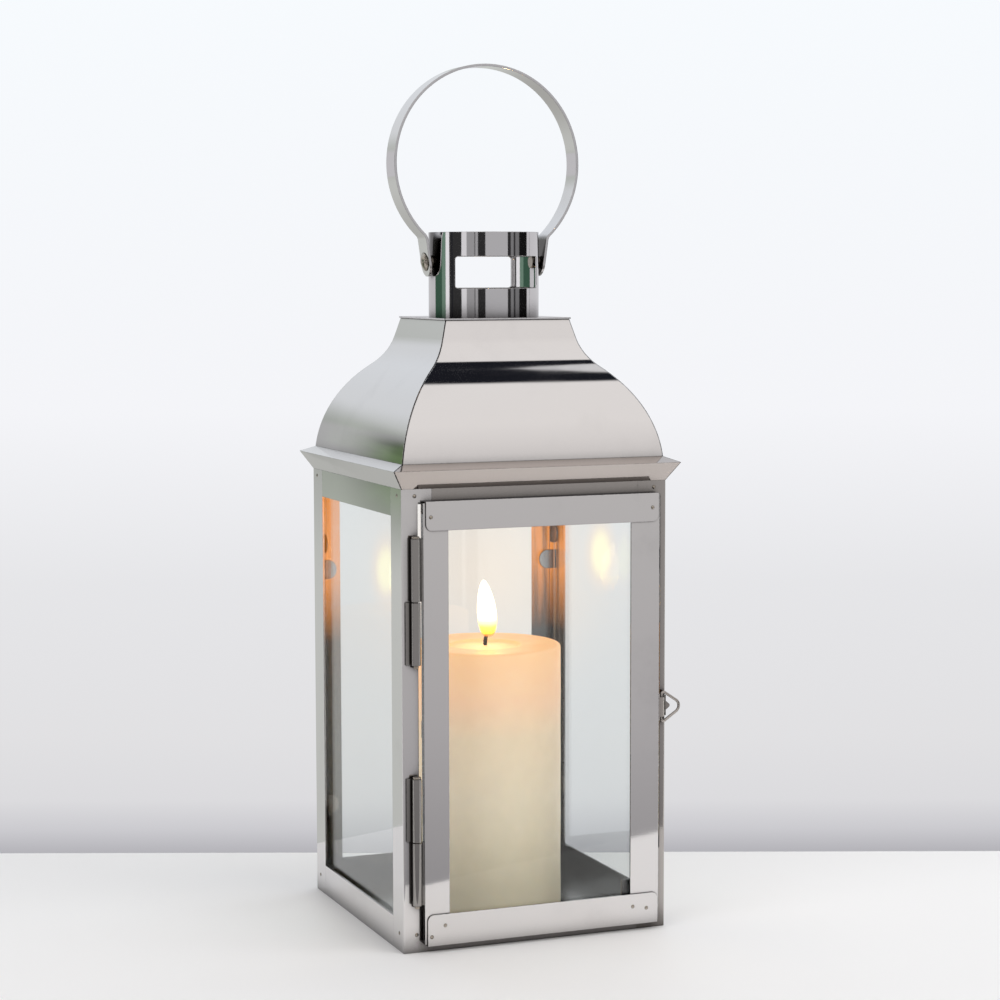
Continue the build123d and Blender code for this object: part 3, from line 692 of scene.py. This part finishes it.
def pillar_profile(radius, low, high, pool):
    """Half the pillar's outline: flat foot, round edges, straight side and a melt pool."""
    edge = 1.7 * MM
    depth = 1.7 * MM
    side_steps = 40
    turns = [radians(15 * i) for i in range(7)]
    flat = radius - edge
    outline = [(0, low), (flat, low)]
    outline += [(flat + edge * sin(a), low + edge - edge * cos(a)) for a in turns]
    side = high - low - 2 * edge
    outline += [(radius, low + edge + side * i / side_steps) for i in range(1, side_steps)]
    outline += [(flat + edge * cos(a), high - edge + edge * sin(a)) for a in turns]
    for share in (0.75, 0.5, 0.25, 0.1):
        outline.append((pool + (flat - pool) * share, high - 0.45 * MM * (1 - share)))
    for inward, down in ((-0.5, 0.40), (0, 0.62), (0.35, 1.25)):
        outline.append((pool - inward * MM, high - down * MM))
    outline.append((pool - 1 * MM, high - depth))
    for share in (0.8, 0.6, 0.4, 0.25, 0.16):
        outline.append((pool * share, high - depth - 0.10 * MM * (1 - share)))
    for across, rise in ((1.7, 0.15), (1.0, 0.7), (0, 0.8)):
        outline.append((across * MM, high - depth + rise * MM))
    return outline


class LANTERN_OT_candle(LanternOperator):
    """Turn the wax pillar with its soft rim and melt pool"""

    bl_idname = "lantern.candle"
    bl_label = "Wax Pillar"

    def execute(self, context):
        low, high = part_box("candle_wax")
        pool = 18 * MM
        wax = turned_mesh(pillar_profile(high.x, low.z, high.z, pool), 144)
        for vertex in wax.verts:
            away = Vector((vertex.co.x, vertex.co.y, 0))
            if away.length < pool + 3 * MM:
                swell = noise.noise(away * 90) * 0.5 * MM * min(1, away.length / pool)
                vertex.co += away.normalized() * swell
            else:
                vertex.co -= away.normalized() * abs(noise.noise(vertex.co * 22)) * 0.35 * MM
        material = wax_material(context.scene.lantern_candle, low.z, high.z)
        piece = smooth_object("wax_pillar", wax, material)
        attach(piece, "candle")
        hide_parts("candle_wax")
        return {"FINISHED"}


def wick_path(low, top):
    """The wick's middle line: straight up through the wax, then leaning to the right."""
    bend = 14 * MM
    lean = radians(28)
    straight_steps = 60
    lean_steps = 12
    start = top - bend * sin(lean)
    points = [Vector((0, 0, low + (start - low) * i / straight_steps)) for i in range(straight_steps + 1)]
    for i in range(1, lean_steps + 1):
        turn = lean * i / lean_steps
        points.append(Vector((bend * (1 - cos(turn)), 0, start + bend * sin(turn))))
    return points


def wick_material(top):
    """Charred cotton that glows at its tip."""
    material, tree, surface = new_material("charred_wick")
    height = axis_value(tree, coordinates(tree), "Z")
    char = noise_value(tree, coordinates(tree), 0.6 * MM, detail=4.0)
    black = blend_colour(tree, char, (0.012, 0.008, 0.006, 1), (0.06, 0.035, 0.02, 1))
    tree.links.new(black, surface.inputs["Base Color"])
    ember = calc(tree, "MULTIPLY", spread(tree, height, top - 1.5 * MM, top), char)
    add_glow(tree, surface, blend_colour(tree, ember, BLACK, (1.0, 0.20, 0.02, 1)), 1.2)
    tree.links.new(spread(tree, char, 0.3, 0.7, 0.7, 0.95), surface.inputs["Roughness"])
    add_bump(tree, surface, calc(tree, "MULTIPLY", char, 0.2 * MM))
    return material


class LANTERN_OT_wick(LanternOperator):
    """Twist the wick from three strands"""

    bl_idname = "lantern.wick"
    bl_label = "Twisted Wick"

    def execute(self, context):
        low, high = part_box("candle_wick")
        middle = wick_path(low.z, high.z - 0.5 * MM)
        made = bmesh.new()
        strands = 3
        pitch = 4.2 * MM
        steps = 4
        for strand in range(strands):
            path = []
            for i, point in enumerate(middle[:-1]):
                for step in range(steps):
                    spot = point.lerp(middle[i + 1], step / steps)
                    turn = 2 * pi * (strand / strands + spot.z / pitch)
                    path.append(spot + Vector((cos(turn), sin(turn), 0)) * 0.50 * MM)
            tube_mesh(made, path, 0.58 * MM, 7)
        piece = smooth_object("twisted_wick", made, wick_material(high.z))
        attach(piece, "candle")
        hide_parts("candle_wick")
        return {"FINISHED"}


def flame_material(foot, flame_height):
    """Yellow light, darker at the foot and thin at the outline."""
    material, tree, surface = new_material("flame")
    height = axis_value(tree, coordinates(tree), "Z")
    share = spread(tree, height, foot, foot + flame_height)
    flicker = noise_value(tree, coordinates(tree, (1, 1, 0.3)), 6 * MM)
    share = calc(tree, "ADD", share, calc(tree, "MULTIPLY", calc(tree, "SUBTRACT", flicker, 0.5), 0.05))
    body = colour_ramp(
        tree, share,
        [(0.0, (0.25, 0.07, 0.01)), (0.09, (0.9, 0.42, 0.03)), (0.2, (1.0, 0.72, 0.12)),
         (0.36, (1.0, 0.86, 0.52)), (1.0, (1.0, 0.84, 0.55))],
    )
    add_glow(tree, surface, body, 7.0)
    surface.inputs["Base Color"].default_value = BLACK
    surface.inputs["Specular IOR Level"].default_value = 0
    facing = node(tree, "ShaderNodeLayerWeight", {"Blend": 0.5}).outputs["Facing"]
    outline_fade = spread(tree, facing, 0.98, 0.25)
    foot_fade = spread(tree, height, foot, foot + 3.5 * MM)
    tree.links.new(calc(tree, "MULTIPLY", outline_fade, foot_fade), surface.inputs["Alpha"])
    return material


class LANTERN_OT_flame(LanternOperator):
    """Shape the flame over the wick"""

    bl_idname = "lantern.flame"
    bl_label = "Flame"

    def execute(self, context):
        candle = context.scene.lantern_candle
        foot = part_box("candle_wick")[1].z - 4.5 * MM
        steps = 26
        widest = 0.512
        profile = [(0, foot)]
        for i in range(1, steps):
            share = i / steps
            swell = share**0.42 * (1 - share) ** 0.66
            profile.append((candle.flame_width / 2 * swell / widest, foot + candle.flame_height * share))
        profile.append((0, foot + candle.flame_height))
        made = turned_mesh(profile, 48)
        for vertex in made.verts:
            share = max(0, vertex.co.z - foot) / candle.flame_height
            vertex.co.x += (1.6 - 2.4 * share**1.6) * MM
        piece = smooth_object("candle_flame", made, flame_material(foot, candle.flame_height))
        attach(piece, "candle")
        return {"FINISHED"}


def facing_axes(yaw):
    """Level directions to the camera and to its right."""
    return Vector((-sin(yaw), -cos(yaw), 0)), Vector((cos(yaw), -sin(yaw), 0))


def hide_from(thing, *rays):
    """Keep a thing out of the sight of some kinds of ray."""
    for ray in rays:
        setattr(thing, f"visible_{ray}", False)


def flat_sheet(name, corners, material):
    """A flat stage sheet through four corners."""
    made = bmesh.new()
    made.faces.new([made.verts.new(corner) for corner in corners])
    piece = smooth_object(name, made, material, smooth=False)
    return piece


def floor_material():
    """Plain pale paint with the faintest unevenness."""
    material, tree, surface = new_material("pale_table")
    cloud = noise_value(tree, coordinates(tree), 250 * MM, detail=3.0)
    colour = blend_colour(tree, cloud, (0.90, 0.893, 0.888, 1), (0.94, 0.933, 0.928, 1))
    tree.links.new(colour, surface.inputs["Base Color"])
    surface.inputs["Roughness"].default_value = 0.55
    return material


def wall_material(flame, reach, patches):
    """A lit wall seen from the front only: greyer at its foot in painted shade, with a painted warm glow
    near the flame and painted patches of the flame's light that the panes throw back, both only where a
    pane is looked through."""
    material, tree, surface = new_material("lit_wall")
    place = coordinates(tree)
    # Painted shade: the wall darkens towards its foot where it meets the table.
    ladder = spread_line(tree, axis_value(tree, place, "Z"), 0.0, 0.47)
    grey = colour_ramp(
        tree, ladder,
        [(0.0, (0.455, 0.45, 0.48)), (0.028, (0.60, 0.595, 0.625)), (0.063, (0.715, 0.71, 0.73)),
         (0.14, (0.755, 0.75, 0.765)), (0.32, (0.79, 0.79, 0.81)), (0.52, (0.905, 0.91, 0.94)),
         (1.0, (0.93, 0.96, 0.99))],
        "LINEAR",
    )
    through_pane = node(tree, "ShaderNodeLightPath").outputs["Is Transmission Ray"]
    offset = vector_calc(tree, "DISTANCE", place, flame, output="Value")
    halo = calc(tree, "POWER", spread(tree, offset, reach, 0.0), 1.6)
    colour = blend_colour(tree, calc(tree, "MULTIPLY", halo, through_pane), grey, (1.0, 0.87, 0.77, 1))
    for patch in patches:
        apart = vector_calc(tree, "SUBTRACT", place, patch)
        apart = vector_calc(tree, "MULTIPLY", apart, (1, 1, 0.42))
        gap = vector_calc(tree, "LENGTH", apart, output="Value")
        for edge, core, full, glow in PATCH_GLOW:
            share = calc(tree, "MULTIPLY", spread(tree, gap, edge, core, 0.0, full), through_pane)
            colour = blend_colour(tree, share, colour, glow)
    light = node(tree, "ShaderNodeEmission", {"Color": colour, "Strength": 1.0})
    clear = node(tree, "ShaderNodeBsdfTransparent")
    side = node(tree, "ShaderNodeNewGeometry").outputs["Backfacing"]
    mix_on_output(tree, side, light.outputs[0], clear.outputs[0])
    tree.nodes.remove(surface)
    return material


def plant_material(near, far, top):
    """Dark leaves, denser to one side and thin at the top and the foot."""
    material, tree, surface = new_material("dark_leaves")
    place = coordinates(tree)
    axes = node(tree, "ShaderNodeSeparateXYZ", {0: place}).outputs
    leaves = noise_value(tree, place, 50 * MM, detail=3.0)
    green = blend_colour(
        tree, spread(tree, leaves, 0.38, 0.66), (0.035, 0.050, 0.028, 1), (0.17, 0.26, 0.12, 1)
    )
    dense = spread(tree, axes["X"], near, far, 0.25)
    dense = calc(tree, "MULTIPLY", dense, spread(tree, axes["Z"], top, top - 35 * MM))
    dense = calc(tree, "MULTIPLY", dense, spread(tree, axes["Z"], top - 150 * MM, top - 60 * MM))
    light = node(tree, "ShaderNodeEmission", {"Color": green, "Strength": 1.0})
    clear = node(tree, "ShaderNodeBsdfTransparent")
    mix_on_output(tree, dense, clear.outputs[0], light.outputs[0])
    tree.nodes.remove(surface)
    return material


def studio_world(yaw):
    """Pale for the camera; for reflections and light a soft room with a dark ceiling and uprights."""
    world = bpy.data.worlds.new("studio")
    bpy.context.scene.world = world
    world.use_nodes = True
    tree = world.node_tree
    tree.nodes.clear()
    look = node(tree, "ShaderNodeTexCoord").outputs["Generated"]
    aligned = node(
        tree, "ShaderNodeVectorRotate", {"Vector": look, "Angle": yaw}, rotation_type="Z_AXIS"
    ).outputs[0]
    axes = node(tree, "ShaderNodeSeparateXYZ", {0: aligned}).outputs
    climb = calc(tree, "MULTIPLY", calc(tree, "ARCSINE", axes["Z"]), 180 / pi)
    bearing = calc(tree, "ARCTAN2", axes["X"], calc(tree, "MULTIPLY", axes["Y"], -1.0))
    room_share = spread_line(tree, climb, -30.0, 90.0)
    room = colour_ramp(
        tree, room_share,
        [(0.0, (0.27, 0.26, 0.255)), (0.125, (0.32, 0.315, 0.325)), (0.16, (0.49, 0.48, 0.49)),
         (0.205, (0.58, 0.57, 0.57)), (0.25, (0.62, 0.61, 0.605)), (0.35, (0.79, 0.765, 0.755)),
         (0.55, (0.91, 0.885, 0.87)), (1.0, (0.92, 0.90, 0.89))],
        "LINEAR",
    )
    behind = spread(tree, axes["Y"], -0.1, 0.6)
    back_room = colour_ramp(
        tree, room_share,
        [(0.0, (0.42, 0.42, 0.40)), (0.2, (0.62, 0.64, 0.62)), (0.27, (0.40, 0.43, 0.39)),
         (0.31, (0.55, 0.58, 0.56)), (0.37, (0.76, 0.79, 0.82)), (0.5, (0.82, 0.87, 0.94)),
         (1.0, (0.86, 0.88, 0.92))],
    )
    room = blend_colour(tree, behind, room, back_room)
    turn = spread_line(tree, bearing, -pi, pi)
    stops = [((start + 180) / 360, colour) for start, colour in UPRIGHTS]
    uprights = colour_ramp(tree, turn, stops, "CONSTANT")
    level = calc(tree, "MULTIPLY", spread(tree, climb, -3.6, -2.8), spread(tree, climb, 8.0, 6.0))
    room = blend_colour(tree, level, room, uprights)
    plain = node(tree, "ShaderNodeSeparateXYZ", {0: look}).outputs
    rise = calc(tree, "MAXIMUM", plain["Z"], 0.05)
    forward = calc(tree, "DIVIDE", plain["Y"], rise)
    sideways = calc(tree, "DIVIDE", plain["X"], rise)
    dark = calc(tree, "MULTIPLY", spread(tree, forward, -0.20, -0.14), spread(tree, forward, 0.75, 0.6))
    slant = calc(tree, "ADD", forward, calc(tree, "MULTIPLY", sideways, 3.5))
    lamp = calc(tree, "MULTIPLY", spread(tree, slant, 1.53, 1.60), spread(tree, forward, -0.03, 0.03))
    dark = calc(tree, "MULTIPLY", dark, calc(tree, "SUBTRACT", 1.0, calc(tree, "MULTIPLY", lamp, 0.85)))
    room = blend_colour(tree, dark, room, (0.012, 0.013, 0.018, 1))
    surroundings = node(tree, "ShaderNodeBackground", {"Color": room, "Strength": 1.0})
    pale = node(tree, "ShaderNodeBackground", {"Color": (0.90, 0.91, 0.93, 1), "Strength": 1.0})
    ray = node(tree, "ShaderNodeLightPath").outputs
    seen = calc(tree, "MAXIMUM", ray["Is Camera Ray"], ray["Is Transmission Ray"])
    both = node(tree, "ShaderNodeMixShader", {0: seen, 1: surroundings.outputs[0], 2: pale.outputs[0]})
    node(tree, "ShaderNodeOutputWorld", {"Surface": both.outputs[0]})


def add_light(name, kind, place, power, size, colour=(1, 1, 1)):
    """A round point light or a square area light."""
    lamp = bpy.data.lights.new(name, kind)
    if kind == "AREA":
        lamp.size = size
    else:
        lamp.shadow_soft_size = size
    lamp.energy = power
    lamp.color = colour
    holder = bpy.data.objects.new(name, lamp)
    bpy.context.scene.collection.objects.link(holder)
    holder.location = place
    return holder


def set_table(to_camera, to_right, table_front, table_back):
    """The table top under the lantern and, to its front and back, floor that the steel doesn't show."""
    ground = UP * -0.05 * MM
    front = to_camera * table_front + ground
    back = -to_camera * table_back + ground
    far_front = to_camera * 4.0 + ground
    far_back = -to_camera * 4.0 + ground
    side = to_right * 4.0
    paint = floor_material()
    flat_sheet("table", (front - side, front + side, back + side, back - side), paint)
    for name, near, far in (("floor_front", front, far_front), ("floor_back", far_back, back)):
        floor = flat_sheet(name, (far - side, far + side, near + side, near - side), paint)
        hide_from(floor, "glossy")
    return back


def set_wall(to_camera, to_right, foot, table_back):
    """The lit wall at the back edge of the table."""
    behind = -to_camera * table_back
    flame = behind + UP * (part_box("candle_wick")[1].z + 16 * MM)
    patches = [behind + to_right * across + UP * height for across, height in PANE_PATCHES]
    face = wall_material(flame, 105 * MM, patches)
    wide = to_right * 1.2
    tall = UP * 1.1
    wall = flat_sheet("wall", (foot - wide, foot + wide, foot + wide + tall, foot - wide + tall), face)
    hide_from(wall, "glossy", "diffuse", "shadow")


def set_plant():
    """Leaves behind the lantern on its left, which only the steel shows."""
    depth = 170 * MM
    low = 100 * MM
    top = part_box("roof_left")[0].z + 58 * MM
    far = -420 * MM
    near = -80 * MM
    corners = [Vector((x, depth, z)) for x, z in ((far, low), (near, low), (near, top), (far, top))]
    plant = flat_sheet("plant", corners, plant_material(-110 * MM, -155 * MM, top))
    hide_from(plant, "camera", "transmission", "diffuse", "shadow")


def set_lights(to_camera, to_right):
    """Softboxes that the steel doesn't show, and the flame's own light, which only it shows."""
    for name, (towards, right, height, size, power) in SOFTBOXES.items():
        place = to_camera * towards + to_right * right + UP * height
        box = add_light(name, "AREA", place, power, size)
        box.rotation_euler = (SOFTBOX_AIM - place).to_track_quat("-Z", "Y").to_euler()
        hide_from(box, "camera", "glossy", "transmission")
    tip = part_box("candle_wick")[1]
    for rise in (6 * MM, 15 * MM):
        glow = add_light("flame_light", "POINT", tip + UP * rise, 0.07, 5.5 * MM, (1.0, 0.62, 0.25))
        hide_from(glow, "camera", "transmission", "diffuse")


def set_camera(studio, to_camera, to_right):
    """The camera, placed in widths of the lantern's body."""
    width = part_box("post_front_right")[1].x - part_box("post_front_left")[0].x
    lens = bpy.data.cameras.new("camera")
    lens.lens = studio.lens
    lens.sensor_width = 36
    lens.clip_start = 10 * MM
    camera = bpy.data.objects.new("camera", lens)
    bpy.context.scene.collection.objects.link(camera)
    away = to_camera * cos(studio.pitch) + UP * sin(studio.pitch)
    over = away.cross(to_right)
    right = to_right * cos(studio.roll) + over * sin(studio.roll)
    top = over * cos(studio.roll) - to_right * sin(studio.roll)
    place = away * studio.distance + to_right * studio.across + UP * studio.height
    turn = Matrix((right, top, away)).transposed().to_4x4()
    camera.matrix_world = Matrix.Translation(place * width) @ turn
    bpy.context.scene.camera = camera


class LANTERN_OT_stage(LanternOperator):
    """Set the table, the wall, the lights, the surroundings and the camera"""

    bl_idname = "lantern.stage"
    bl_label = "Studio"

    def execute(self, context):
        studio = context.scene.lantern_studio
        to_camera, to_right = facing_axes(studio.yaw)
        wall_foot = set_table(to_camera, to_right, studio.table_front, studio.table_back)
        set_wall(to_camera, to_right, wall_foot, studio.table_back)
        set_plant()
        studio_world(studio.yaw)
        set_lights(to_camera, to_right)
        set_camera(studio, to_camera, to_right)
        context.scene.view_settings.view_transform = "Standard"
        return {"FINISHED"}


OPERATORS = (
    LANTERN_OT_effects,
    LANTERN_OT_steel,
    LANTERN_OT_rivets,
    LANTERN_OT_panes,
    LANTERN_OT_candle,
    LANTERN_OT_wick,
    LANTERN_OT_flame,
    LANTERN_OT_stage,
)
SETTINGS = {
    "lantern_steel": LanternSteel,
    "lantern_glass": LanternGlass,
    "lantern_candle": LanternCandle,
    "lantern_studio": LanternStudio,
}


class LANTERN_PT_panel(bpy.types.Panel):
    """The lantern's steps and their sizes and colours"""

    bl_idname = "LANTERN_PT_panel"
    bl_label = "Candle Lantern"
    bl_space_type = "VIEW_3D"
    bl_region_type = "UI"
    bl_category = "Lantern"

    def draw(self, context):
        for name, group in SETTINGS.items():
            box = self.layout.box()
            for label in group.__annotations__:
                box.prop(getattr(context.scene, name), label)
        for operator in OPERATORS:
            self.layout.operator(operator.bl_idname)


def register():
    """Register the settings, the operators and the panel."""
    for name, group in SETTINGS.items():
        bpy.utils.register_class(group)
        setattr(bpy.types.Scene, name, PointerProperty(type=group))
    for operator in OPERATORS:
        bpy.utils.register_class(operator)
    bpy.utils.register_class(LANTERN_PT_panel)


def unregister():
    """Take them away again."""
    bpy.utils.unregister_class(LANTERN_PT_panel)
    for operator in reversed(OPERATORS):
        bpy.utils.unregister_class(operator)
    for name, group in SETTINGS.items():
        delattr(bpy.types.Scene, name)
        bpy.utils.unregister_class(group)


def main():
    """Build the looks in order."""
    register()
    for operator in OPERATORS:
        family, step = operator.bl_idname.split(".")
        getattr(getattr(bpy.ops, family), step)()


if __name__ == "__main__":
    main()
